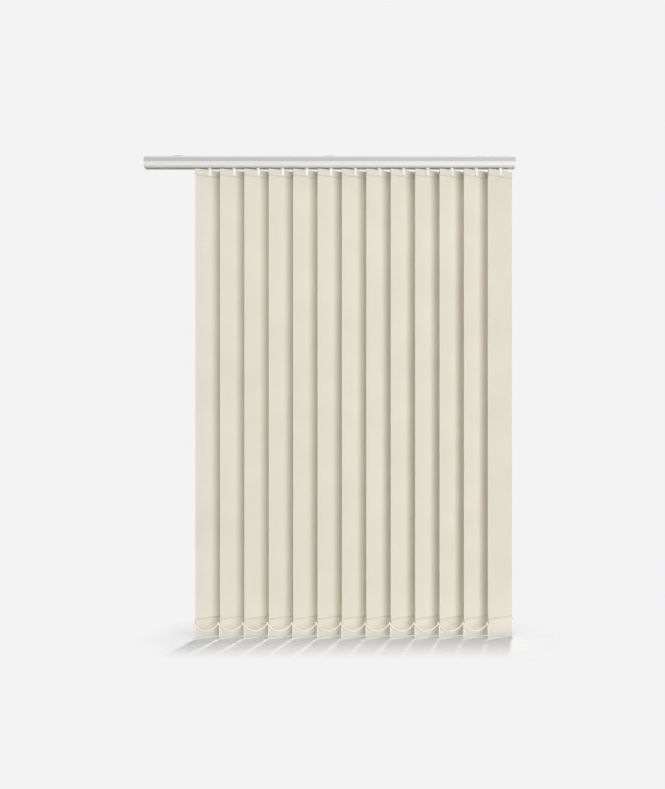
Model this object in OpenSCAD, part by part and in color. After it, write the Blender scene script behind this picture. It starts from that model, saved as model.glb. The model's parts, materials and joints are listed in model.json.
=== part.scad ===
// Vertical blind: an aluminium headrail, tilting fabric vanes on geared carriers, and link cords.
// The origin lies on the ceiling plane at mid rail. X runs along the rail, Y away from the room, Z up.

/* [Headrail] */
// Length over both end caps
rail_length = 1220; // [1000:5:1600]
// Depth from front to back
rail_depth = 44; // [43:0.5:50]
// Height of the extrusion
rail_height = 34; // [33:0.5:40]
// Thickness of the extruded wall
rail_wall = 1.3; // [1:0.1:1.6]
// Height of the full-depth lip along the top
lip_height = 4.5; // [2.5:0.1:5]
// Height of the set-back band under the lip
band_height = 12; // [8:0.1:14]
// How far the band is set back
band_recess = 1.2; // [0.8:0.1:1.6]
// Outer radius of the two lower corners
corner_radius = 8; // [6:0.5:10]
// Width of the slot that the hooks hang through
slot_width = 12; // [11.5:0.5:14]
// Thickness of the end cap plates
cap_plate = 2; // [1.5:0.1:4]

/* [Vanes] */
// Number of vanes
vane_count = 13; // [11:1:13]
// Distance from the end of the rail to the first vane, which leaves the rest of the rail open
first_vane_inset = 214; // [90:1:260]
// Distance from the last vane to the other end of the rail
last_vane_inset = 46; // [42:1:90]
// Width of a vane
vane_width = 98; // [85:1:110]
// Length of a vane from its top fold to its bottom fold
vane_length = 1542; // [600:10:2200]
// Gap between the rail and the top fold
vane_gap = 6; // [5.5:0.5:15]
// Turn of the vanes away from lying flat along the rail, in degrees
rest_tilt = 27; // [14:1:166]
// Thickness of the fabric
fabric = 0.6; // [0.4:0.1:1]
// Depth of the top pocket, from the fold to its weld
top_pocket = 20.5; // [18:0.5:30]
// Depth of the bottom pocket, from the fold to its weld
bottom_pocket = 58; // [55:1:80]
// Width of a welded hem
weld_width = 3; // [2:0.5:6]

/* [Carriers] */
// Diameter of a carrier wheel
wheel_diameter = 6.4; // [5:0.2:6.6]
// Width of a carrier wheel
wheel_width = 3; // [2:0.5:3.5]
// Number of teeth on the tilt gear
gear_teeth = 8; // [7:1:9]
// Outer radius of the tilt gear
gear_tip_radius = 6; // [5.5:0.1:6.4]
// Face width of the tilt gear
gear_face = 4; // [3:0.5:5]
// Outer radius of the worm
worm_radius = 6; // [5.6:0.1:6.2]
// Depth of the worm thread
worm_depth = 2.1; // [1.6:0.1:2.2]
// Thickness of a spacer strip
strip_thickness = 0.4; // [0.3:0.1:0.6]
// Width of a spacer strip
strip_width = 4.4; // [4:0.1:4.5]

/* [Hooks and hangers] */
// Diameter of the hook's stem
stem_diameter = 6; // [5:0.5:7]
// Diameter of the collar under the rail
collar_diameter = 14; // [11:0.5:15]
// Width of the hook's two legs
leg_width = 8; // [6:0.5:9]
// Thickness of each leg
leg_thickness = 1.8; // [1.4:0.1:2.4]
// Distance from the end of a hanger to the edge of its vane
hanger_inset = 2; // [1:0.5:10]
// Thickness of a hanger
hanger_thickness = 1.8; // [1.2:0.1:2.4]

/* [Weights and link cords] */
// Thickness of a bottom weight
weight_thickness = 2.8; // [2:0.1:4]
// Height of a bottom weight
weight_height = 48.5; // [35:0.5:50]
// How far a weight stands out past each edge of its vane
weight_overhang = 2.5; // [0.5:0.1:4]
// Diameter of the link cord
cord_diameter = 3.2; // [2:0.1:3.6]
// Sag of the link cord between two vanes
cord_sag = 23.6; // [12:0.2:32]

/* [Ceiling brackets] */
// Distance from the ends of the rail to the outer brackets
bracket_inset = 110; // [60:5:200]
// Length of a bracket along the rail
bracket_length = 30; // [24:1:50]
// Thickness of the bracket's plate
bracket_plate = 1.5; // [1:0.1:2.5]
// Room for the screw head between plate and rail
head_room = 3.5; // [3:0.1:5]
// Diameter of the screw hole
screw_hole = 4.5; // [4:0.1:5.5]

/* [Hidden] */
$fn = 48;
arc_steps = 10;
overrun = 1;
run_gap = 0.3;
side_gap = 0.6;
face_gap = 0.2;

// Levels
rail_top = -bracket_plate - head_room;
rail_bottom = rail_top - rail_height;
vane_top = rail_bottom - vane_gap;
vane_bottom = vane_top - vane_length;
rail_half = rail_length / 2;
waist_half = rail_depth / 2 - band_recess - rail_wall;
lower_half = rail_depth / 2 - rail_wall;

// Vane places along the rail
vane_pitch = (rail_length - first_vane_inset - last_vane_inset) / (vane_count - 1);
function vane_x(i) = -rail_half + first_vane_inset + i * vane_pitch;

// Bracket hooks and the two ribs that they hold
hook_gauge = 1;
rib_gap = 0.3;
rib_centre = 13;
rib_web = 1.2;
rib_reach = 3.8;
foot_lap = 2.3;
bracket_depth = 30;
rib_top = -bracket_plate - rib_gap;
lip_under = rib_top - hook_gauge;
lip_edge = rib_centre - rib_reach;
foot_edge = lip_edge + foot_lap;
foot_web = lip_edge - side_gap;

// Wheels and their tracks
wheel_radius = wheel_diameter / 2;
track_thickness = 1.2;
track_lap = 0.7;
track_top = rail_bottom + corner_radius + track_thickness;
axle_z = track_top + wheel_radius + run_gap;
wheel_outer = waist_half - side_gap;
wheel_inner = wheel_outer - wheel_width;
track_inner = wheel_inner - track_lap;
axle_radius = 1.4;

// Tilt gear, worm and rod
gear_drop = 12;
gear_z = rail_top - gear_drop;
tooth_depth = 1.8;
mesh_gap = 0.7;
tip_half = 0.4;
root_half = 0.75;
gear_root_radius = gear_tip_radius - tooth_depth;
worm_root_radius = worm_radius - worm_depth;
worm_y = gear_tip_radius + worm_root_radius + mesh_gap;
pitch_share = 0.6;
gear_pitch_radius = gear_root_radius + pitch_share * tooth_depth;
worm_lead = 2 * PI * gear_pitch_radius / gear_teeth;
worm_turns = 2.5;
worm_length = worm_turns * worm_lead;
worm_sides = 12;
rings_per_turn = 8;
rod_rib_radius = 2.7;
rod_root_radius = 1.9;
rod_gap = 0.25;

// Carrier housing
housing_wall = 3;
shell_wall = 1.2;
housing_radius = 1.5;
strip_room = 4.7;
floor_room = 3;
chamber_gap = 0.5;
worm_gap = 0.3;
rod_bore_radius = 3.7;
stem_radius = stem_diameter / 2;
stem_bore_radius = stem_radius + side_gap - face_gap;
gear_chamber_radius = gear_tip_radius + chamber_gap;
worm_chamber_radius = worm_radius + worm_gap;
worm_chamber_half = worm_length / 2 + chamber_gap;
housing_half = gear_chamber_radius + housing_wall;
housing_depth = track_inner - side_gap;
housing_back = worm_y + worm_chamber_radius + shell_wall;
housing_top = rail_top - rail_wall - strip_room;
housing_bottom = rail_bottom + rail_wall + floor_room;
shoulder_z = axle_z + wheel_radius + chamber_gap;
chamber_floor = gear_z - gear_face / 2 - run_gap;
boss_radius = slot_width / 2 - chamber_gap;

// Spacer strips, which lie in two lanes turn by turn, and the posts that they run on
post_radius = 0.8;
lane_gap = 0.4;
strip_low = housing_top + face_gap;
strip_climb = 2.6;
rivet_top = strip_low + strip_thickness + side_gap;
post_top = rivet_top + strip_climb;
strip_slot_half = post_radius + run_gap;
strip_slot_start = 8;
strip_end = strip_width / 2;
strip_corner = 1.5;
strip_reach = vane_pitch + strip_slot_half + strip_end;
strip_slope = atan(strip_climb / vane_pitch);
function lane_y(i) = -housing_depth + strip_width / 2 + (i % 2) * (strip_width + lane_gap);

// Hooks and hangers
collar_gap = 0.4;
collar_edge = 0.8;
collar_taper = 2.2;
leg_reach = 19;
leg_gap = hanger_thickness / 2 + run_gap;
leg_outer = leg_gap + leg_thickness;
collar_top = rail_bottom - collar_gap;
collar_bottom = vane_top + collar_gap;
hanger_width = vane_width - 2 * hanger_inset;
hanger_fold_gap = 0.3;
hanger_top = vane_top - fabric - hanger_fold_gap;
top_flare = 2.5;
hanger_height = top_pocket - fabric - 2 * hanger_fold_gap - top_flare;
hanger_corner = 3;
peg_radius = 1.7;
eye_drop = 10;
eye_z = hanger_top - eye_drop;
notch_gap = 1;
leg_bottom = vane_top - leg_reach;
notch_bottom = leg_bottom - notch_gap;

// Weights and link cord clips
pocket_gap = 0.2;
top_half = hanger_thickness / 2 + pocket_gap + fabric;
bottom_half = weight_thickness / 2 + pocket_gap + fabric;
weight_bottom = vane_bottom + fabric + hanger_fold_gap;
weight_top = weight_bottom + weight_height;
bottom_flare = vane_bottom + bottom_pocket - weight_top - run_gap;
weight_half = vane_width / 2 + weight_overhang;
weight_corner = 4;
pin_radius = 2;
pin_height = 5.5;
tab_radius = 2.6;
tab_height = 2.5;
pin_reach = weight_half + tab_radius;
clip_wall = 1.1;
clip_height = 4;
clip_bottom = weight_top + run_gap;
clip_z = clip_bottom + clip_height / 2;
clip_inner = pin_radius + run_gap;
clip_outer = clip_inner + clip_wall;
cord_radius = cord_diameter / 2;
bead_radius = cord_radius + side_gap;
bead_sink = 0.8;
bead_reach = clip_outer + bead_radius - bead_sink;
cord_gap = 0.15;
cord_sides = 8;
cord_rings = 7;

// End caps and the chain wheel
plug_length = 8;
plug_gap = 0.2;
plug_height = 12;
bush_radius = 5;
bush_bore_radius = rod_rib_radius + run_gap;
rod_end_gap = 0.5;
wheel_house = 24;
chain_wheel_radius = 7.2;
chain_wheel_width = 8;
chain_wheel_x = rail_half - cap_plate - wheel_house / 2;
chain_pocket_radius = 1.7;
chain_pocket_depth = 1.9;
chain_groove_depth = 1.2;
chain_groove_half = 2.4;
chain_pockets = 10;
chain_house_wall = 0.8;
outlet_radius = 2;
outlet_spread = 3;
outlet_length = 14;

// Colours
rail_white = "#ECECEA";
plastic_white = "#F5F5F0";
plastic_grey = "#D6D6D2";
steel_grey = "#B9BDC1";
cloth_cream = "#E5DFCE";
cord_cream = "#FAF5EA";

function station(i) = str(i < 9 ? "0" : "", i + 1);
function name_of(kind, i) = str(kind, "_", station(i));
stations = [0:vane_count - 1];

// Helpers: a section in depth and height drawn out along X, and a plate standing in X and Z
module along_x(from, to) {
    translate([from, 0, 0])
        rotate([90, 0, 90])
            linear_extrude(to - from)
                children();
}

module standing_plate(thickness) {
    translate([0, thickness / 2, 0])
        rotate([90, 0, 0])
            linear_extrude(thickness)
                children();
}

module bar_x(radius, from, to) {
    translate([from, 0, 0])
        rotate([0, 90, 0])
            cylinder(r = radius, h = to - from);
}

module box(low, high) {
    translate(low)
        cube(high - low);
}

module rectangle(low, high) {
    translate(low)
        square(high - low);
}

module rounded_rectangle(low, high, radius) {
    rectangle([low.x + radius, low.y], [high.x - radius, high.y]);
    rectangle([low.x, low.y + radius], [high.x, high.y - radius]);
    for (x = [low.x + radius, high.x - radius], y = [low.y + radius, high.y - radius])
        translate([x, y])
            circle(radius);
}

module both_sides() {
    children();
    mirror([1, 0, 0])
        children();
}

// Outlines given by their right half, from one end to the other
function backwards(points) = [for (i = [len(points) - 1:-1:0]) points[i]];
function flipped(points) = [for (p = points) [-p.x, p.y]];
function whole(half) = concat(half, backwards(flipped(half)));
function arc(centre, radius, from, to) = [
    for (k = [0:arc_steps])
        centre + radius * [cos(from + (to - from) * k / arc_steps), sin(from + (to - from) * k / arc_steps)]
];

// Triangles between two neighbouring rings of points, and along a whole tube
function band(first, second, sides) = [
    for (i = [0:sides - 1])
        let (next = (i + 1) % sides)
            each [
                [first + i, second + i, second + next],
                [first + i, second + next, first + next]
            ]
];
function skin(rings, sides) = [
    for (j = [0:rings - 2])
        each band(j * sides, (j + 1) * sides, sides)
];

// Headrail: the right half of its outer and inner outlines, from the slot up to the top
corner_z = rail_bottom + corner_radius;
function outside_half() = concat(
    arc([rail_depth / 2 - corner_radius, corner_z], corner_radius, -90, 0),
    [
        [rail_depth / 2, rail_top - lip_height - band_height],
        [rail_depth / 2 - band_recess, rail_top - lip_height - band_height],
        [rail_depth / 2 - band_recess, rail_top - lip_height],
        [rail_depth / 2, rail_top - lip_height],
        [rail_depth / 2, rail_top]
    ]
);
function rib_half() = [
    [rib_centre + rib_web / 2, rail_top],
    [rib_centre + rib_web / 2, rib_top],
    [lip_edge, rib_top],
    [lip_edge, lip_under],
    [rib_centre - rib_web / 2, lip_under],
    [rib_centre - rib_web / 2, rail_top]
];
function inside_half() = concat(
    [[slot_width / 2, rail_bottom + rail_wall]],
    arc([rail_depth / 2 - corner_radius, corner_z], corner_radius - rail_wall, -90, 0),
    [
        [track_inner, corner_z],
        [track_inner, track_top],
        [lower_half, track_top],
        [lower_half, rail_top - lip_height - band_height - rail_wall],
        [waist_half, rail_top - lip_height - band_height - rail_wall],
        [waist_half, rail_top - rail_wall]
    ]
);

module rail_section() {
    outside = concat([[slot_width / 2, rail_bottom]], outside_half(), rib_half());
    polygon(concat(whole(outside), flipped(inside_half()), backwards(inside_half())));
}

module headrail() {
    color(rail_white)
        along_x(-rail_half + cap_plate, rail_half - cap_plate)
            rail_section();
}

// End caps
module cap_face(from, to) {
    along_x(from, to)
        polygon(whole(outside_half()));
}

module cap_plug(from, to) {
    half = waist_half - plug_gap;
    high = rail_top - rail_wall - plug_gap;
    along_x(from, to)
        rectangle([-half, high - plug_height], [half, high]);
}

module on_rod() {
    translate([0, worm_y, gear_z])
        children();
}

module idle_end_cap() {
    inside = -rail_half + cap_plate;
    color(plastic_white)
        difference() {
            union() {
                cap_face(-rail_half, inside);
                cap_plug(inside, inside + plug_length / 2);
                on_rod()
                    bar_x(bush_radius, inside, inside + plug_length);
            }
            on_rod()
                bar_x(bush_bore_radius, inside, inside + plug_length + overrun);
        }
}

module control_end_cap() {
    inside = rail_half - cap_plate;
    room = chain_wheel_width / 2 + chamber_gap;
    house_radius = chain_wheel_radius + chamber_gap;
    neck = slot_width / 2 - run_gap;
    color(plastic_white)
        difference() {
            union() {
                cap_face(inside, rail_half);
                cap_plug(inside - wheel_house, inside);
                on_rod()
                    bar_x(house_radius + chain_house_wall, inside - wheel_house, inside);
                box([chain_wheel_x - outlet_length / 2, -neck, rail_bottom],
                    [chain_wheel_x + outlet_length / 2, neck, gear_z]);
            }
            on_rod() {
                bar_x(house_radius, chain_wheel_x - room, chain_wheel_x + room);
                bar_x(bush_bore_radius, inside - wheel_house - overrun, inside);
            }
            for (y = [-outlet_spread, outlet_spread])
                translate([chain_wheel_x, y, rail_bottom - overrun])
                    cylinder(r = outlet_radius, h = gear_z - rail_bottom + overrun);
        }
}

// Ceiling brackets, each with a screw hole and two feet that hold the ribs of the rail
module bracket_section() {
    rectangle([-bracket_depth / 2, -bracket_plate], [bracket_depth / 2, 0]);
    both_sides() {
        rectangle([foot_web - hook_gauge, lip_under - hook_gauge], [foot_web, -bracket_plate / 2]);
        rectangle([foot_web - hook_gauge, lip_under - hook_gauge], [foot_edge, lip_under]);
    }
}

module top_fix_brackets() {
    outer = rail_half - bracket_inset;
    color(steel_grey)
        for (x = [-outer, 0, outer])
            translate([x, 0, 0])
                difference() {
                    along_x(-bracket_length / 2, bracket_length / 2)
                        bracket_section();
                    translate([0, 0, -bracket_plate - overrun])
                        cylinder(d = screw_hole, h = bracket_plate + 2 * overrun);
                }
}

// Tilt rod, and the wheel that the control chain turns
module rod_star(grow) {
    polygon([
        for (i = [0:worm_sides - 1])
            let (radius = (i % 2 == 0 ? rod_rib_radius : rod_root_radius) + grow)
                radius * [cos(i * 360 / worm_sides), sin(i * 360 / worm_sides)]
    ]);
}

module tilt_rod() {
    color(steel_grey)
        on_rod()
            along_x(-rail_half + cap_plate + rod_end_gap, rail_half - cap_plate - rod_end_gap)
                rod_star(0);
}

module chain_wheel_rim() {
    half = chain_wheel_width / 2;
    rotate_extrude()
        polygon([
            [0, -half],
            [chain_wheel_radius, -half],
            [chain_wheel_radius, -chain_groove_half],
            [chain_wheel_radius - chain_groove_depth, 0],
            [chain_wheel_radius, chain_groove_half],
            [chain_wheel_radius, half],
            [0, half]
        ]);
}

module chain_wheel() {
    color(plastic_grey)
        translate([chain_wheel_x, 0, 0])
            on_rod()
                difference() {
                    rotate([0, 90, 0])
                        difference() {
                            chain_wheel_rim();
                            for (i = [1:chain_pockets])
                                rotate([0, 90, i * 360 / chain_pockets])
                                    translate([0, 0, chain_wheel_radius - chain_pocket_depth])
                                        cylinder(r = chain_pocket_radius, h = chain_pocket_depth + overrun);
                        }
                    along_x(-chain_wheel_width, chain_wheel_width)
                        rod_star(face_gap / 2);
                }
}

// Carriers: each holds its own strip on a rivet, and its post runs in the next carrier's strip
module post(i, top) {
    translate([0, lane_y(i), housing_top - overrun])
        cylinder(r = post_radius, h = top - housing_top + overrun);
}

module housing_body(i) {
    translate([0, 0, housing_bottom])
        linear_extrude(housing_top - housing_bottom)
            rounded_rectangle([-housing_half, -housing_depth],
                [housing_half, housing_depth], housing_radius);
    translate([0, 0, shoulder_z])
        linear_extrude(housing_top - shoulder_z)
            rounded_rectangle([-housing_half, 0], [housing_half, housing_back], housing_radius);
    translate([0, 0, rail_bottom])
        cylinder(r = boss_radius, h = housing_bottom - rail_bottom + overrun);
    if (i > 0)
        post(i, rivet_top);
    if (i < vane_count - 1)
        post(i + 1, post_top);
    translate([0, 0, axle_z])
        rotate([90, 0, 0])
            cylinder(r = axle_radius, h = 2 * (wheel_outer + face_gap), center = true);
}

module housing_hollows() {
    open_top = housing_top + overrun;
    translate([0, 0, chamber_floor])
        cylinder(r = gear_chamber_radius, h = open_top - chamber_floor);
    translate([0, 0, rail_bottom - overrun])
        cylinder(r = stem_bore_radius, h = chamber_floor - rail_bottom + 2 * overrun);
    on_rod() {
        bar_x(worm_chamber_radius, -worm_chamber_half, worm_chamber_half);
        bar_x(rod_bore_radius, -housing_half - overrun, housing_half + overrun);
    }
    box([-worm_chamber_half, worm_y - worm_chamber_radius, gear_z],
        [worm_chamber_half, worm_y + worm_chamber_radius, open_top]);
}

module carrier_wheels() {
    for (side = [-1, 1])
        translate([0, side * (wheel_outer - wheel_width / 2), axle_z])
            rotate([90, 0, 0])
                difference() {
                    cylinder(r = wheel_radius, h = wheel_width, center = true);
                    cylinder(r = axle_radius + face_gap, h = wheel_width + overrun, center = true);
                }
}

module spacer_strip(i) {
    translate([0, lane_y(i), strip_low])
        rotate([0, strip_slope, 0])
            linear_extrude(strip_thickness)
                difference() {
                    rounded_rectangle([-strip_reach, -strip_width / 2],
                        [strip_end, strip_width / 2], strip_corner);
                    circle(strip_slot_half);
                    rectangle([-vane_pitch, -strip_slot_half], [-strip_slot_start, strip_slot_half]);
                    for (x = [-vane_pitch, -strip_slot_start])
                        translate([x, 0])
                            circle(strip_slot_half);
                }
}

module carrier(i) {
    color(plastic_grey)
        translate([vane_x(i), 0, 0]) {
            difference() {
                housing_body(i);
                housing_hollows();
            }
            carrier_wheels();
            if (i > 0)
                spacer_strip(i);
        }
}

// Worms: a round thread whose ridge faces the gear at mid length
function worm_reach(x, turn) =
    (worm_radius + worm_root_radius) / 2 + worm_depth / 2 * cos(turn - 180 - 360 * x / worm_lead);
function worm_turn(k) = k * 360 / worm_sides;
function bore_reach(k) = (k % 2 == 0 ? rod_rib_radius : rod_root_radius) + rod_gap;
function around_x(x, radius, turn) = [x, radius * cos(turn), radius * sin(turn)];

module worm(i) {
    rings = worm_turns * rings_per_turn + 1;
    inner = rings * worm_sides;
    last = inner - worm_sides;
    points = [
        for (j = [0:rings - 1], k = [0:worm_sides - 1])
            let (x = worm_length * (j / (rings - 1) - 1 / 2))
                around_x(x, worm_reach(x, worm_turn(k)), worm_turn(k)),
        for (x = [-worm_length / 2, worm_length / 2], k = [0:worm_sides - 1])
            around_x(x, bore_reach(k), worm_turn(k))
    ];
    faces = [
        each skin(rings, worm_sides),
        each band(inner + worm_sides, inner, worm_sides),
        each band(inner, 0, worm_sides),
        each band(last, inner + worm_sides, worm_sides)
    ];
    color(plastic_white)
        translate([vane_x(i), 0, 0])
            on_rod()
                polyhedron(points, faces);
}

// Hooks with their tilt gears, and the hangers that hold the vanes
function tooth_point(radius, turn, half) =
    radius * [cos(turn), sin(turn)] + half * [-sin(turn), cos(turn)];

module tilt_gear() {
    translate([0, 0, gear_z - gear_face / 2])
        linear_extrude(gear_face)
            polygon([
                for (k = [0:gear_teeth - 1])
                    let (turn = 90 + (k + 1 / 2) * 360 / gear_teeth)
                        each [
                            tooth_point(gear_root_radius, turn, -root_half),
                            tooth_point(gear_tip_radius, turn, -tip_half),
                            tooth_point(gear_tip_radius, turn, tip_half),
                            tooth_point(gear_root_radius, turn, root_half)
                        ]
            ]);
}

module leg_outline() {
    rounded_end = leg_width / 2;
    rectangle([-rounded_end, leg_bottom + rounded_end], [rounded_end, collar_bottom + overrun]);
    translate([0, leg_bottom + rounded_end])
        circle(rounded_end);
}

module hook_stem() {
    translate([0, 0, collar_top - overrun])
        cylinder(r = stem_radius, h = gear_z - collar_top + overrun);
    rotate_extrude()
        polygon([
            [0, collar_bottom],
            [leg_width / 2, collar_bottom],
            [collar_diameter / 2, collar_bottom + collar_taper],
            [collar_diameter / 2, collar_top - collar_edge],
            [collar_diameter / 2 - collar_edge, collar_top],
            [0, collar_top]
        ]);
}

module hook_legs() {
    difference() {
        standing_plate(2 * leg_outer)
            leg_outline();
        box([-leg_width, -leg_gap, leg_bottom - overrun], [leg_width, leg_gap, hanger_top + run_gap]);
    }
    translate([0, 0, eye_z])
        rotate([90, 0, 0])
            cylinder(r = peg_radius, h = 2 * leg_gap + leg_thickness, center = true);
}

module hanger() {
    standing_plate(hanger_thickness)
        difference() {
            rounded_rectangle([-hanger_width / 2, hanger_top - hanger_height],
                              [hanger_width / 2, hanger_top], hanger_corner);
            translate([0, eye_z])
                circle(peg_radius + run_gap);
        }
}

module hook(i) {
    color(plastic_white)
        translate([vane_x(i), 0, 0]) {
            tilt_gear();
            hook_stem();
            rotate(rest_tilt) {
                hook_legs();
                hanger();
            }
        }
}

// Vanes: a strip of fabric folded and welded into a pocket at each end, and its bottom weight
module fold(half, fold_z, weld_z, flare) {
    up = sign(weld_z - fold_z);
    polygon(whole([
        [half - fabric, fold_z],
        [half, fold_z + up * fabric],
        [half, weld_z - up * flare],
        [fabric, weld_z],
        [fabric, weld_z + up * weld_width]
    ]));
}

module fold_hollow(half, fold_z, weld_z, flare) {
    up = sign(weld_z - fold_z);
    inner = half - fabric;
    polygon(whole([
        [inner, fold_z + up * fabric],
        [inner, weld_z - up * flare],
        [face_gap / 2, weld_z]
    ]));
}

module fabric_section() {
    top_weld = vane_top - top_pocket;
    bottom_weld = vane_bottom + bottom_pocket;
    difference() {
        union() {
            rectangle([-fabric / 2, bottom_weld + weld_width / 2], [fabric / 2, top_weld - weld_width / 2]);
            fold(top_half, vane_top, top_weld, top_flare);
            fold(bottom_half, vane_bottom, bottom_weld, bottom_flare);
        }
        fold_hollow(top_half, vane_top, top_weld, top_flare);
        fold_hollow(bottom_half, vane_bottom, bottom_weld, bottom_flare);
    }
}

module vane_fabric() {
    notch = leg_width / 2 + notch_gap;
    difference() {
        along_x(-vane_width / 2, vane_width / 2)
            fabric_section();
        box([-notch, -leg_outer, notch_bottom], [notch, leg_outer, vane_top + overrun]);
    }
}

module vane_weight() {
    standing_plate(weight_thickness)
        rounded_rectangle([-weight_half, weight_bottom], [weight_half, weight_top], weight_corner);
    both_sides() {
        box([weight_half - weight_corner - tab_radius, -weight_thickness / 2, weight_top - tab_height],
            [pin_reach, weight_thickness / 2, weight_top]);
        translate([pin_reach, 0, weight_top - tab_height])
            cylinder(r = tab_radius, h = tab_height);
        translate([pin_reach, 0, weight_top - tab_height / 2])
            cylinder(r = pin_radius, h = tab_height / 2 + pin_height);
    }
}

module vane(i) {
    translate([vane_x(i), 0, 0])
        rotate(rest_tilt) {
            color(cloth_cream)
                vane_fabric();
            color(plastic_white)
                vane_weight();
        }
}

// Link cords: a clip on each pin with a bead on its outer side, and a sagging cord between beads
function cord_slope(share) = 4 * cord_sag * (2 * share - 1) / vane_pitch;
function cord_point(share) = [share * vane_pitch, 0, -4 * cord_sag * share * (1 - share)];
function cord_ring(share, k) =
    let (climb = atan(cord_slope(share)), turn = k * 360 / cord_sides)
        cord_point(share) + cord_radius * [-sin(climb) * sin(turn), cos(turn), cos(climb) * sin(turn)];

module cord_span() {
    end_share = (bead_radius + cord_gap) * cos(atan(cord_slope(0))) / vane_pitch;
    last = (cord_rings - 1) * cord_sides;
    points = [
        for (j = [0:cord_rings - 1], k = [0:cord_sides - 1])
            cord_ring(end_share + (1 - 2 * end_share) * j / (cord_rings - 1), k)
    ];
    faces = [
        each skin(cord_rings, cord_sides),
        [for (k = [0:cord_sides - 1]) k],
        [for (k = [0:cord_sides - 1]) last + cord_sides - 1 - k]
    ];
    polyhedron(points, faces);
}

module cord_clip(side) {
    difference() {
        union() {
            translate([0, 0, clip_bottom])
                cylinder(r = clip_outer, h = clip_height);
            translate([0, side * bead_reach, clip_z])
                sphere(bead_radius);
        }
        translate([0, 0, clip_bottom - overrun])
            cylinder(r = clip_inner, h = clip_height + 2 * overrun);
    }
}

module link_cord(side) {
    pin = side * pin_reach * [cos(rest_tilt), sin(rest_tilt), 0];
    color(cord_cream)
        for (i = stations)
            translate([vane_x(i), 0, 0] + pin) {
                cord_clip(side);
                if (i < vane_count - 1)
                    translate([0, side * bead_reach, clip_z])
                        cord_span();
            }
}

headrail();
idle_end_cap();
control_end_cap();
top_fix_brackets();
tilt_rod();
chain_wheel();
for (i = stations) {
    carrier(i);
    worm(i);
    hook(i);
    vane(i);
}
link_cord(-1);  // front_link_cord
link_cord(1);  // rear_link_cord
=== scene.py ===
"""Vertical blind: cream fabric vanes on a white headrail, with weighted hems and link cords,
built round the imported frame."""
import json
import math

import bmesh
import bpy
from mathutils import Matrix, Vector


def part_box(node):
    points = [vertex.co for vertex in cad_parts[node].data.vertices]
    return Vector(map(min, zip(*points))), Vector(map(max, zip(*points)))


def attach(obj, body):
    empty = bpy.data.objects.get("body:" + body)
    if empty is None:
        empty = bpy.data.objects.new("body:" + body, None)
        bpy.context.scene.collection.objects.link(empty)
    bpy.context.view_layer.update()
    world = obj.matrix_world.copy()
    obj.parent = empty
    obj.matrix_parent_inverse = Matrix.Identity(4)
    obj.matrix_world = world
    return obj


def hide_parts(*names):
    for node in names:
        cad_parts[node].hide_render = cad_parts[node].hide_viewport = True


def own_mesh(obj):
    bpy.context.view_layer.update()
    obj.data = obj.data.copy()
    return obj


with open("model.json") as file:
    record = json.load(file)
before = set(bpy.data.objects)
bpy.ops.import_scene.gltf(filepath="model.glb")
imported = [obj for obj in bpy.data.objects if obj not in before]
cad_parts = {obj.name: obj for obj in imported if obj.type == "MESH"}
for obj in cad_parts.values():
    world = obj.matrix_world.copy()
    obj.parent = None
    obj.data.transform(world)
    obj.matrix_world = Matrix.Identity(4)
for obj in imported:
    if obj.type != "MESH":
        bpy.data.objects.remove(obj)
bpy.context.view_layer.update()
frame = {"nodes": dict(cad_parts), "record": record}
nodes = frame["nodes"]

# Sizes in metres, in the row frame
MM = 0.001
VANES = 13
STATIONS = [f"{i + 1:02d}" for i in range(VANES)]
PITCH, STACKED_PITCH = 80 * MM, 28.5 * MM
TILT = math.radians(27)

# Meshes: points this close are one, edges past this angle stay sharp,
# and a plate's two faces have at least this share of their normal along Y
MERGE = 0.001 * MM
SHARP = math.radians(40)
FACING = 0.9

# Rail: heights of the set-back band on its long faces, which carries painted shade, and the depth
# past which those faces lie
BAND_TOP, BAND_BOTTOM = -9.5 * MM, -21.5 * MM
LONG_FACE = 20.3 * MM

# Cloth of a vane: one strip, turned back to a welded pocket at each end.
# A pocket opens to a gap on either side of the middle, over the height of its flare.
TOP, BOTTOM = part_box("vane_01")[1].z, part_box("vane_01")[0].z
WIDTH, CLOTH = 98 * MM, 0.6 * MM
TOP_WELD, BOTTOM_WELD, WELD = TOP - 20.5 * MM, BOTTOM + 62 * MM, 2.5 * MM
TOP_GAP, TOP_FLARE = 1.4 * MM, 2.5 * MM
BOTTOM_GAP, BOTTOM_FLARE = 1.9 * MM, 8.3 * MM
WELD_MARGIN = 1.5 * MM
NOTCH_HALF, NOTCH_BOTTOM = 5 * MM, TOP - 20 * MM
FLARE_STEPS, FOLD_STEPS, BODY_STEPS = 5, 12, 24
NEXT_CUT = Vector((0.37, 1.13))  # from one vane's cloth to the next in the weave

# Bottom weight: a plate with a tab at each end that carries a pin, and on the pin the cord's clip
WEIGHT_HALF, WEIGHT_THICK = WIDTH / 2 + 2.5 * MM, 2.8 * MM
WEIGHT_LOW = BOTTOM + 0.9 * MM
WEIGHT_HIGH = WEIGHT_LOW + 48.5 * MM
WEIGHT_CORNER, WEIGHT_EDGE = 4 * MM, 0.5 * MM
TAB_INSET, TAB_HEIGHT, TAB_CORNER, TAB_EDGE = 6.6 * MM, 2.5 * MM, 0.8 * MM, 0.3 * MM
PIN_REACH = WEIGHT_HALF + 2.6 * MM
CORNER_STEPS, EDGE_STEPS, TURN_STEPS = 8, 2, 24
# Radius and height over the tab, in millimetres
PIN_OUTLINE = [(0, -2.5), (2.3, -2.5), (2.6, -2.2), (2.6, -0.3), (2.3, 0), (2, 0.1),
               (2, 5.1), (1.6, 5.5), (0, 5.5)]
CLIP_OUTLINE = [(2.3, 0.6), (2.6, 0.3), (3.1, 0.3), (3.4, 0.7), (3.4, 3.9), (3.1, 4.3),
                (2.6, 4.3), (2.3, 4)]

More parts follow.
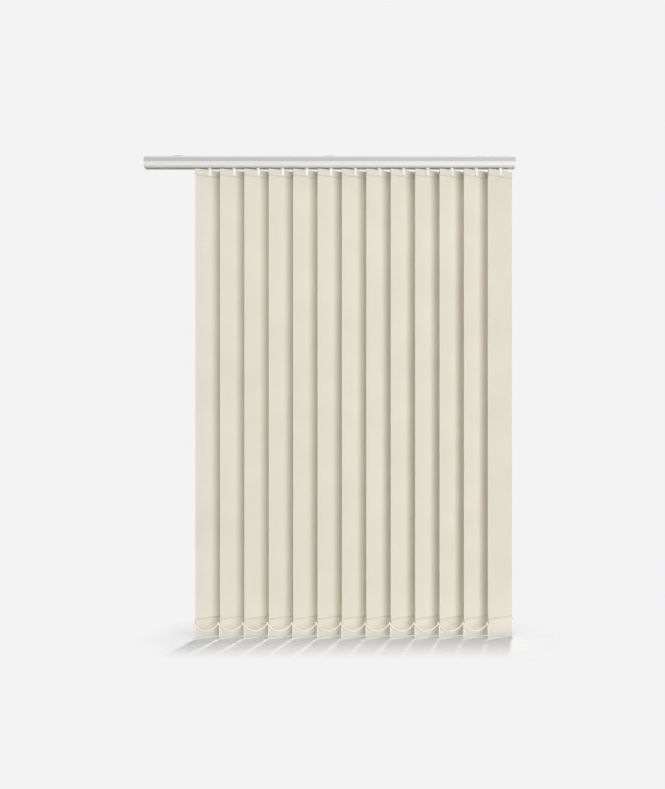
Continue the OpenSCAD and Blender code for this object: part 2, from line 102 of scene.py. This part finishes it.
# Link cords, which hang from bead to bead
CLIP_Z = WEIGHT_HIGH + 2.3 * MM
BEAD_REACH, BEAD_RADIUS, BEAD_STEPS = 4.8 * MM, 2.2 * MM, 16
CORD_RADIUS, CORD_SAG = 1.6 * MM, 23.6 * MM
CORD_SIDES, SPAN_STEPS = 12, 24
STRANDS, STRAND_PITCH = 3, 5 * MM
WAVE = 2 * math.pi / 10  # one diagonal wave of Blender's wave texture
SEARCH_SPANS, HALVINGS = 20, 80  # search for the scale of a hanging span

# Stage: the floor fades out with the distance from a line under the vanes
FLOOR = BOTTOM - 3 * MM
FLOOR_SIZE, FLOOR_MIDDLE, FLOOR_LINE, FLOOR_FADE = 2.4, 0.08, 0.5, 0.24

# Camera: place, and sensor and lens in millimetres
EYE = (0.0094, -2.58, -0.7865)
SENSOR, LENS = 36, 35.6

# Sockets that a Mix node has under one name: its two values, its two colours and the mixed colour
VALUE_A, VALUE_B, COLOUR_A, COLOUR_B, COLOUR_OUT = 2, 3, 6, 7, 2


def place(station):
    """Where a vane hangs along the rail."""
    low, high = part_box(f"hook_{station}")
    return (low.x + high.x) / 2


# Materials
def colour(text):
    """A hex sRGB colour as linear RGBA."""
    parts = [int(text[i:i + 2], 16) / 255 for i in (1, 3, 5)]
    return [c / 12.92 if c <= 0.04045 else ((c + 0.055) / 1.055) ** 2.4 for c in parts] + [1]


def add(tree, kind, inputs=None, **settings):
    """Adds a shader node. Inputs are values or other nodes' outputs, by socket name or number."""
    node = tree.nodes.new("ShaderNode" + kind)
    for key, value in settings.items():
        setattr(node, key, value)
    for key, value in (inputs or {}).items():
        if isinstance(value, bpy.types.NodeSocket):
            tree.links.new(value, node.inputs[key])
        else:
            node.inputs[key].default_value = value
    return node


def material(name, base, roughness, metallic=0, coat=0):
    """A material with its tree and principled shader."""
    made = bpy.data.materials.new(name)
    made.use_nodes = True
    tree = made.node_tree
    shader = tree.nodes["Principled BSDF"]
    shader.inputs["Base Color"].default_value = colour(base)
    shader.inputs["Roughness"].default_value = roughness
    shader.inputs["Metallic"].default_value = metallic
    shader.inputs["Coat Weight"].default_value = coat
    return made, tree, shader


def grain(tree, shader, width, depth, roughness, drawn_out=1, edge=0):
    """Fine relief with grains of a width, drawn out along X, over edges broken to a radius.
    The roughness varies with the grains."""
    at = add(tree, "TexCoord").outputs["Object"]
    drawn = add(tree, "Mapping", {"Vector": at, "Scale": (1 / drawn_out, 1, 1)}).outputs[0]
    noise = add(tree, "TexNoise", {"Vector": drawn, "Scale": 1 / width, "Detail": 3}).outputs[0]
    bump = add(tree, "Bump", {"Height": noise, "Distance": depth, "Strength": 0.6})
    if edge:
        broken = add(tree, "Bevel", {"Radius": edge}, samples=4)
        tree.links.new(broken.outputs[0], bump.inputs["Normal"])
    tree.links.new(bump.outputs[0], shader.inputs["Normal"])
    varied = add(tree, "MapRange", {"Value": noise, "To Min": roughness[0], "To Max": roughness[1]})
    tree.links.new(varied.outputs[0], shader.inputs["Roughness"])
    return noise


def vane_fabric():
    """Stiffened plain weave in cream polyester: matte, with level slubs, slow drifts of tone
    and darker ribbed welds across the pockets."""
    thread, rib = 0.7 * MM, 1.6 * MM  # threads drawn about twice as coarse as real ones, to show
    slub_length, slub_height, drift_width = 45 * MM, 1.1 * MM, 140 * MM
    weld_tone, let_through = 0.32, 0.08  # shares of the weld's colour and of light from behind
    made, tree, shader = material("cream woven polyester", "#E7E2D4", roughness=0.86)
    uv = add(tree, "UVMap", uv_map="cloth").outputs[0]
    across = add(tree, "SeparateXYZ", {0: uv})

    def ripple(source, pitch):
        turns = {0: source, 1: 2 * math.pi / pitch}
        phase = add(tree, "Math", turns, operation="MULTIPLY").outputs[0]
        return add(tree, "Math", {0: phase}, operation="SINE").outputs[0]

    warp, weft = ripple(across.outputs[0], thread), ripple(across.outputs[1], thread)
    weave = add(tree, "Math", {0: warp, 1: weft}, operation="MULTIPLY").outputs[0]
    slub_scale = (1 / slub_length, 1 / slub_height, 1)
    drawn = add(tree, "Mapping", {"Vector": uv, "Scale": slub_scale}).outputs[0]
    slub = add(tree, "TexNoise", {"Vector": drawn, "Scale": 1, "Detail": 2}).outputs[0]
    drift = add(tree, "TexNoise", {"Vector": uv, "Scale": 1 / drift_width, "Detail": 1}).outputs[0]
    tone = add(tree, "Math", {0: slub, 1: drift}, operation="ADD").outputs[0]
    share = add(tree, "MapRange", {"Value": tone, "From Min": 0.4, "From Max": 1.6}).outputs[0]
    cloth = add(tree, "Mix", {"Factor": share, COLOUR_A: colour("#E1DCCD"),
                              COLOUR_B: colour("#EDE8DB")}, data_type="RGBA").outputs[COLOUR_OUT]
    weld = add(tree, "Attribute", attribute_name="weld").outputs["Fac"]
    ribs = ripple(across.outputs[0], rib)
    pressed = add(tree, "Math", {0: weld, 1: weld_tone}, operation="MULTIPLY").outputs[0]
    base = add(tree, "Mix", {"Factor": pressed, COLOUR_A: cloth, COLOUR_B: colour("#B5AA90")},
               data_type="RGBA").outputs[COLOUR_OUT]
    tree.links.new(base, shader.inputs["Base Color"])
    relief = add(tree, "Mix", {"Factor": weld, VALUE_A: weave, VALUE_B: ribs}).outputs[0]
    bump = add(tree, "Bump", {"Height": relief, "Distance": 0.08 * MM, "Strength": 0.5})
    tree.links.new(bump.outputs[0], shader.inputs["Normal"])
    shader.inputs["Sheen Weight"].default_value = 0.12
    shader.inputs["Specular IOR Level"].default_value = 0.25
    through = add(tree, "BsdfTranslucent", {"Color": base})
    mixed = add(tree, "MixShader", {0: let_through, 1: shader.outputs[0], 2: through.outputs[0]})
    tree.links.new(mixed.outputs[0], tree.nodes["Material Output"].inputs["Surface"])
    return made


def rail_coat_with_painted_shade(name, white):
    """White satin coat with a faint orange peel. On the long faces the set-back band is painted
    light grey and the lip over it a little greyer, as painted shade in the recess and from above."""
    lip_shade_share = 0.2  # share of the band's grey on the lip
    made, tree, shader = material(name, white, roughness=0.36, coat=0.15)
    grain(tree, shader, width=1.1 * MM, depth=0.05 * MM, roughness=(0.3, 0.42))
    at = add(tree, "SeparateXYZ", {0: add(tree, "TexCoord").outputs["Object"]})
    middle, half = (BAND_TOP + BAND_BOTTOM) / 2, (BAND_TOP - BAND_BOTTOM) / 2
    # Painted shade: on the long faces the set-back band is greyed towards #C0C0BF for shade in the
    # recess, and the lip by a fifth as much for shade from above
    band = add(tree, "Math", {0: at.outputs[2], 1: middle, 2: half}, operation="COMPARE").outputs[0]
    lip = add(tree, "Math", {0: at.outputs[2], 1: BAND_TOP}, operation="GREATER_THAN").outputs[0]
    share = add(tree, "Math", {0: lip, 1: lip_shade_share, 2: band}, operation="MULTIPLY_ADD").outputs[0]
    depth = add(tree, "Math", {0: at.outputs[1]}, operation="ABSOLUTE").outputs[0]
    outside = add(tree, "Math", {0: depth, 1: LONG_FACE}, operation="GREATER_THAN").outputs[0]
    grey = add(tree, "Math", {0: share, 1: outside}, operation="MULTIPLY").outputs[0]
    base = add(tree, "Mix", {"Factor": grey, COLOUR_A: colour(white), COLOUR_B: colour("#C0C0BF")},
               data_type="RGBA").outputs[COLOUR_OUT]
    tree.links.new(base, shader.inputs["Base Color"])
    return made


def white_plastic():
    """White moulded acetal: a satin skin, slightly deep, with softly broken edges."""
    made, tree, shader = material("white moulded acetal", "#F5F5F0", roughness=0.38)
    shader.inputs["Subsurface Weight"].default_value = 0.08
    shader.inputs["Subsurface Scale"].default_value = 1 * MM
    # The mould's grain is far finer, and is drawn at this width to show
    grain(tree, shader, width=0.7 * MM, depth=0.03 * MM, roughness=(0.32, 0.44), edge=0.4 * MM)
    return made


def grey_plastic():
    """Light grey moulded acetal of the carriers: as the white, but duller."""
    made, tree, shader = material("light grey moulded acetal", "#D2D2CE", roughness=0.45)
    grain(tree, shader, width=0.7 * MM, depth=0.03 * MM, roughness=(0.4, 0.52), edge=0.4 * MM)
    return made


def zinc_plate():
    """Zinc plated steel sheet: bluish grey, with a faint spangle about 3 mm wide."""
    made, tree, shader = material("zinc plated steel", "#C9CCD0", roughness=0.34, metallic=1)
    noise = grain(tree, shader, width=2.9 * MM, depth=0.02 * MM, roughness=(0.26, 0.46),
                  edge=0.3 * MM)
    base = add(tree, "Mix", {"Factor": noise, COLOUR_A: colour("#B9BDC2"),
                             COLOUR_B: colour("#D6D9DC")}, data_type="RGBA").outputs[COLOUR_OUT]
    tree.links.new(base, shader.inputs["Base Color"])
    return made


def mill_aluminium():
    """Mill finish aluminium: bright, with draw lines along the rod."""
    made, tree, shader = material("mill finish aluminium", "#CFD1D3", roughness=0.38, metallic=1)
    grain(tree, shader, width=0.8 * MM, depth=0.02 * MM, roughness=(0.3, 0.5), drawn_out=50)
    return made


def cord_braid():
    """Cream white braided polyester: matte, with strands that wind round the cord."""
    made, tree, shader = material("cream white braided cord", "#FEFBF3", roughness=0.6)
    uv = add(tree, "UVMap", uv_map="cord").outputs[0]
    strands = add(tree, "TexWave", {"Vector": uv, "Scale": 1, "Distortion": 0},
                  bands_direction="DIAGONAL").outputs[1]
    bump = add(tree, "Bump", {"Height": strands, "Distance": 0.15 * MM, "Strength": 0.5})
    tree.links.new(bump.outputs[0], shader.inputs["Normal"])
    return made


finishes = {
    "white_painted_aluminium": rail_coat_with_painted_shade("white powder coat", "#E3E3E2"),
    "white_plastic": white_plastic(),
    "grey_plastic": grey_plastic(),
    "zinc_plated_steel": zinc_plate(),
    "extruded_aluminium": mill_aluminium(),
    "vane_fabric": vane_fabric(),
    "link_cord": cord_braid(),
}
for part in frame["record"]["subparts"]:
    mesh = nodes[part["node"]].data
    mesh.materials.clear()
    mesh.materials.append(finishes[part["material_slot"]])
# The end caps take the same white, with the same painted shade on the band and lip of their long
# edges
cap_finish = rail_coat_with_painted_shade("white moulded end cap", "#E5E5E3")
for cap in ("idle_end_cap", "control_end_cap"):
    nodes[cap].data.materials[0] = cap_finish


# Mesh helpers
def piece(name, mesh, slot, body):
    """A finished piece that rides on a body and takes its finish from a slot."""
    obj = bpy.data.objects.new(name, mesh)
    bpy.context.scene.collection.objects.link(obj)
    mesh.materials.append(finishes[slot])
    mesh.shade_smooth()
    mesh.set_sharp_from_angle(angle=SHARP)
    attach(obj, body)
    return obj


def to_mesh(name, bm):
    """Turns a bmesh into a mesh with its normals outwards."""
    bmesh.ops.recalc_face_normals(bm, faces=bm.faces)
    mesh = bpy.data.meshes.new(name)
    bm.to_mesh(mesh)
    bm.free()
    return mesh


def draw_on(bm, edges):
    """Extrudes the open edges of a sheet or tube. Gives the new points and edges."""
    drawn = bmesh.ops.extrude_edge_only(bm, edges=edges)["geom"]
    points = [g for g in drawn if isinstance(g, bmesh.types.BMVert)]
    ends = [g for g in drawn
            if isinstance(g, bmesh.types.BMEdge) and all(v in points for v in g.verts)]
    return points, ends


def turned(bm, outline, centre, closed=False):
    """Spins an outline of radius and height about a vertical line through a centre."""
    points = [bm.verts.new(centre + MM * Vector((radius, 0, height))) for radius, height in outline]
    pairs = list(zip(points, points[1:])) + ([(points[-1], points[0])] if closed else [])
    edges = [bm.edges.new(pair) for pair in pairs]
    bmesh.ops.spin(bm, geom=points + edges, cent=centre, axis=(0, 0, 1), angle=2 * math.pi,
                   steps=TURN_STEPS, use_merge=True)
    poles = [v for v in bm.verts if (v.co - centre).xy.length < MERGE]
    bmesh.ops.remove_doubles(bm, verts=poles, dist=MERGE)


def plate(bm, low, high, thickness, corner, edge):
    """A plate standing in X and Z between two corners, with round corners and broken edges."""
    middle = Matrix.Translation(((low[0] + high[0]) / 2, 0, (low[1] + high[1]) / 2))
    size = Matrix.Diagonal((high[0] - low[0], thickness, high[1] - low[1], 1))
    block = bmesh.ops.create_cube(bm, size=1, matrix=middle @ size)["verts"]
    through = [e for e in dict.fromkeys(e for v in block for e in v.link_edges)
               if abs(e.verts[0].co.y - e.verts[1].co.y) > thickness / 2]
    bent = bmesh.ops.bevel(bm, geom=through, offset=corner, segments=CORNER_STEPS, profile=0.5,
                           affect="EDGES", material=-1)
    bm.normal_update()
    touched = dict.fromkeys(f for v in bent["verts"] for f in v.link_faces)
    faces = [f for f in touched if abs(f.normal.y) > FACING]
    rim = list(dict.fromkeys(e for f in faces for e in f.edges))
    bmesh.ops.bevel(bm, geom=rim, offset=edge, segments=EDGE_STEPS, profile=0.5,
                    affect="EDGES", material=-1)


# Vanes
def pocket_line(fold, weld, gap, flare, way, stops=()):
    """One pocket in a vertical cut as offset, height and weld share, from its free edge at the back
    over the fold to the face."""
    half = CLOTH / 2
    steps = [weld + way * flare * k / FLARE_STEPS for k in range(1, FLARE_STEPS + 1)]
    steps = [z for z in steps if all(abs(z - stop) > MERGE for stop in stops)] + list(stops)
    rise = [(weld - way * WELD, half, 1), (weld, half, 1)]
    for z in sorted(steps, key=lambda z: way * z):
        share = min(1, way * (z - weld) / flare)
        rise.append((z, half + (gap - half) * share * share * (3 - 2 * share), 0))
    centre = fold - way * (gap + half)
    rise.append((centre, gap, 0))
    turns = [math.pi * k / FOLD_STEPS for k in range(1, FOLD_STEPS)]
    bow = [(centre + way * gap * math.sin(t), gap * math.cos(t), 0) for t in turns]
    fall = [(z, -n, w) for z, n, w in reversed(rise)]
    return [(n, z, w) for z, n, w in rise + bow + fall]


def cloth_line():
    """The whole cloth in a vertical cut, from the top pocket's flap to the bottom pocket's flap."""
    top = pocket_line(TOP, TOP_WELD, TOP_GAP, TOP_FLARE, 1, [NOTCH_BOTTOM])
    bottom = pocket_line(BOTTOM, BOTTOM_WELD, BOTTOM_GAP, BOTTOM_FLARE, -1)[::-1]
    bottom = [(-n, z, w) for n, z, w in bottom]
    start, end = top[-1][1] - WELD_MARGIN, bottom[0][1] + WELD_MARGIN
    body = [(0, start + (end - start) * k / BODY_STEPS, 0) for k in range(BODY_STEPS + 1)]
    return top + body + bottom


def cloth_mesh():
    """A vane's cloth about its own axis, with the notch for the hook and a metric UV map."""
    line = cloth_line()
    bm = bmesh.new()
    weld, run = (bm.verts.layers.float.new(name) for name in ("weld", "run"))
    uv = bm.loops.layers.uv.new("cloth")
    across = (-WIDTH / 2, -NOTCH_HALF, NOTCH_HALF, WIDTH / 2)
    first = [bm.verts.new((u, *line[0][:2])) for u in across]
    for point in first:
        point[weld] = line[0][2]
    ends = [bm.edges.new(pair) for pair in zip(first, first[1:])]
    length = 0
    for (n, z, _), (far_n, far_z, share) in zip(line, line[1:]):
        length += math.dist((n, z), (far_n, far_z))
        points, ends = draw_on(bm, ends)
        bmesh.ops.translate(bm, verts=points, vec=(0, far_n - n, far_z - z))
        for point in points:
            point[weld], point[run] = share, length
    for face in bm.faces:
        for loop in face.loops:
            loop[uv].uv = (loop.vert.co.x, loop.vert[run])
    low, half = NOTCH_BOTTOM - MERGE, NOTCH_HALF + MERGE
    notch = [f for f in bm.faces if all(abs(v.co.x) < half and v.co.z > low for v in f.verts)]
    bmesh.ops.delete(bm, geom=notch, context="FACES")
    flat = bpy.data.objects.new("cloth", to_mesh("cloth", bm))
    bpy.context.scene.collection.objects.link(flat)
    shell = flat.modifiers.new("thickness", "SOLIDIFY")
    shell.thickness, shell.offset, shell.use_even_offset = CLOTH, 0, True
    shown = flat.evaluated_get(bpy.context.evaluated_depsgraph_get())
    thick = bpy.data.meshes.new_from_object(shown)
    bpy.data.objects.remove(flat)
    return thick, length


def weight_mesh():
    """A bottom weight about the vane's axis: plate, end tabs with pins, and clips on the pins."""
    bm = bmesh.new()
    plate(bm, (-WEIGHT_HALF, WEIGHT_LOW), (WEIGHT_HALF, WEIGHT_HIGH),
          WEIGHT_THICK, WEIGHT_CORNER, WEIGHT_EDGE)
    for side in (-1, 1):
        inner, outer = sorted((side * (WEIGHT_HALF - TAB_INSET), side * PIN_REACH))
        plate(bm, (inner, WEIGHT_HIGH - TAB_HEIGHT), (outer, WEIGHT_HIGH),
              WEIGHT_THICK, TAB_CORNER, TAB_EDGE)
        centre = Vector((side * PIN_REACH, 0, WEIGHT_HIGH))
        turned(bm, PIN_OUTLINE, centre)
        turned(bm, CLIP_OUTLINE, centre, closed=True)
    return to_mesh("weight", bm)


def cut(cloth, stand, along_weave):
    """A copy of the cloth in its place, cut from another stretch of the weave."""
    bm = bmesh.new()
    bm.from_mesh(cloth)
    uv = bm.loops.layers.uv["cloth"]
    for face in bm.faces:
        for loop in face.loops:
            loop[uv].uv += along_weave
    bmesh.ops.transform(bm, matrix=stand, verts=bm.verts)
    return to_mesh("fabric", bm)


cloth, cloth_length = cloth_mesh()
weight = weight_mesh()
for count, station in enumerate(STATIONS):
    vane = f"vane_{station}"
    stand = Matrix.Translation((place(station), 0, 0)) @ Matrix.Rotation(TILT, 4, "Z")
    fabric = cut(cloth, stand, count * NEXT_CUT)
    fabric = piece(f"fabric_{station}", fabric, "vane_fabric", vane)
    ballast = weight.copy()
    ballast.transform(stand)
    ballast = piece(f"weight_{station}", ballast, "white_plastic", vane)
    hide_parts(vane)


# Link cords
def hang(span, sag):
    """The catenary's scale for a span and a sag, found by halving."""
    low, high = span / SEARCH_SPANS, span * SEARCH_SPANS
    for _ in range(HALVINGS):
        scale = (low + high) / 2
        if scale * (math.cosh(span / 2 / scale) - 1) > sag:
            low = scale
        else:
            high = scale
    return scale


def cord_line(clips):
    """Points of a cord that hangs between its clips."""
    scale = hang(PITCH, CORD_SAG)
    line = []
    for start in clips[:-1]:
        for k in range(SPAN_STEPS):
            x = PITCH * k / SPAN_STEPS
            drop = CORD_SAG - scale * (math.cosh((x - PITCH / 2) / scale) - 1)
            line.append(start + Vector((x, 0, -drop)))
    return line + [clips[-1]]


def cord_mesh(line):
    """A round cord along a line in X and Z, with a UV map that winds with its strands."""
    stands = []
    for before, point, after in zip(line[:1] + line, line, line[1:] + line[-1:]):
        along = (after - before).normalized()
        out = Vector((along.z, 0, -along.x))
        turn_to = Matrix((out, (0, 1, 0), along)).transposed()
        stands.append(Matrix.Translation(point) @ turn_to.to_4x4())
    bm = bmesh.new()
    run, turn = (bm.verts.layers.float.new(name) for name in ("run", "turn"))
    uv = bm.loops.layers.uv.new("cord")
    ring = bmesh.ops.create_circle(bm, segments=CORD_SIDES, radius=CORD_RADIUS,
                                   matrix=stands[0])["verts"]
    for k, point in enumerate(ring):
        point[turn] = k / CORD_SIDES
    ends, length = list(bm.edges), 0
    for k in range(1, len(line)):
        length += (line[k] - line[k - 1]).length
        points, ends = draw_on(bm, ends)
        bmesh.ops.transform(bm, matrix=stands[k] @ stands[k - 1].inverted(), verts=points)
        for point in points:
            point[run] = length
    bmesh.ops.holes_fill(bm, edges=bm.edges)
    for face in bm.faces:
        # On the last faces of a round, the first point comes again as a whole turn
        seam = max(loop.vert[turn] for loop in face.loops) > 0.5
        for loop in face.loops:
            round_share = 1 if seam and loop.vert[turn] == 0 else loop.vert[turn]
            loop[uv].uv = (loop.vert[run] / STRAND_PITCH * WAVE, round_share * STRANDS * WAVE)
    return to_mesh("cord", bm), length


def bead_mesh(clips):
    """The small beads that hold the cord to its clips."""
    bm = bmesh.new()
    for clip in clips:
        bmesh.ops.create_uvsphere(bm, u_segments=BEAD_STEPS, v_segments=BEAD_STEPS // 2,
                                  radius=BEAD_RADIUS, matrix=Matrix.Translation(clip))
    return to_mesh("beads", bm)


for side, name in ((-1, "front_link_cord"), (1, "rear_link_cord")):
    pin = side * PIN_REACH * Vector((math.cos(TILT), math.sin(TILT), 0))
    bead = pin + Vector((0, side * BEAD_REACH, CLIP_Z))
    clips = [bead + Vector((place(station), 0, 0)) for station in STATIONS]
    line = cord_line(clips)
    mesh, length = cord_mesh(line)
    cord = piece(f"{name}_run", mesh, "link_cord", name)
    beads = piece(f"{name}_beads", bead_mesh(clips), "link_cord", name)
    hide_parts(name)
    for soft in (cord, beads):
        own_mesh(soft)


# Stage, light and camera
def floor():
    """A pale floor that fades out to the white surroundings."""
    made, tree, shader = material("pale floor", "#F0F1F2", roughness=0.8)
    at = add(tree, "TexCoord").outputs["Object"]
    away = add(tree, "VectorMath", {0: at}, operation="ABSOLUTE").outputs[0]
    line_end = (FLOOR_LINE, 0, 0)
    away = add(tree, "VectorMath", {0: away, 1: line_end}, operation="SUBTRACT").outputs[0]
    away = add(tree, "VectorMath", {0: away, 1: (0, 0, 0)}, operation="MAXIMUM").outputs[0]
    reach = add(tree, "VectorMath", {0: away}, operation="LENGTH").outputs["Value"]
    fade = add(tree, "MapRange", {"Value": reach, "From Min": 0, "From Max": FLOOR_FADE},
               interpolation_type="SMOOTHSTEP")
    clear = add(tree, "BsdfTransparent")
    mixed = add(tree, "MixShader", {0: fade.outputs[0], 1: shader.outputs[0], 2: clear.outputs[0]})
    tree.links.new(mixed.outputs[0], tree.nodes["Material Output"].inputs["Surface"])
    bm = bmesh.new()
    bmesh.ops.create_grid(bm, x_segments=1, y_segments=1, size=FLOOR_SIZE)
    mesh = to_mesh("floor", bm)
    mesh.materials.append(made)
    obj = bpy.data.objects.new("floor", mesh)
    obj.location = (FLOOR_MIDDLE, 0, FLOOR)
    bpy.context.scene.collection.objects.link(obj)


def surroundings():
    """White where it is seen, and a softer even light on the object."""
    world = bpy.data.worlds.new("studio")
    bpy.context.scene.world = world
    world.use_nodes = True
    tree = world.node_tree
    tree.nodes.clear()
    path = add(tree, "LightPath").outputs
    seen = add(tree, "Math", {0: path["Is Camera Ray"], 1: path["Is Glossy Ray"]},
               operation="MAXIMUM").outputs[0]
    seen = add(tree, "Math", {0: seen, 1: path["Is Transmission Ray"]},
               operation="MAXIMUM").outputs[0]
    shown = add(tree, "Background", {"Color": colour("#F3F3F3"), "Strength": 1})
    light = add(tree, "Background", {"Color": (1, 1, 1, 1), "Strength": 0.3})
    mixed = add(tree, "MixShader", {0: seen, 1: light.outputs[0], 2: shown.outputs[0]})
    out = add(tree, "OutputWorld")
    tree.links.new(mixed.outputs[0], out.inputs["Surface"])


def lamp(name, at, target, size, power):
    """A square soft light aimed at a point."""
    data = bpy.data.lights.new(name, "AREA")
    data.shape, data.size, data.energy = "SQUARE", size, power
    obj = bpy.data.objects.new(name, data)
    obj.location = at
    obj.rotation_euler = (Vector(target) - Vector(at)).to_track_quat("-Z", "Y").to_euler()
    bpy.context.scene.collection.objects.link(obj)


floor()
surroundings()
lamp("key", at=(3.4, -6.2, -1), target=(0, 0, -0.9), size=6, power=370)
lamp("top", at=(0.1, -0.9, 1.6), target=(0, -0.5, -1.6), size=1.8, power=7)
lamp("fill", at=(-3.6, -6, -0.7), target=(0, 0, -0.8), size=4, power=76)
# Small and far, for streaks between the vanes
lamp("back", at=(2.1, 5.6, 7.6), target=(0, 0, -1.5), size=0.5, power=620)

view = bpy.data.cameras.new("camera")
view.sensor_width, view.lens = SENSOR, LENS
camera = bpy.data.objects.new("camera", view)
camera.location = EYE
camera.rotation_euler = (math.pi / 2, 0, 0)
bpy.context.scene.collection.objects.link(camera)
bpy.context.scene.camera = camera
bpy.context.scene.view_settings.view_transform = "Standard"
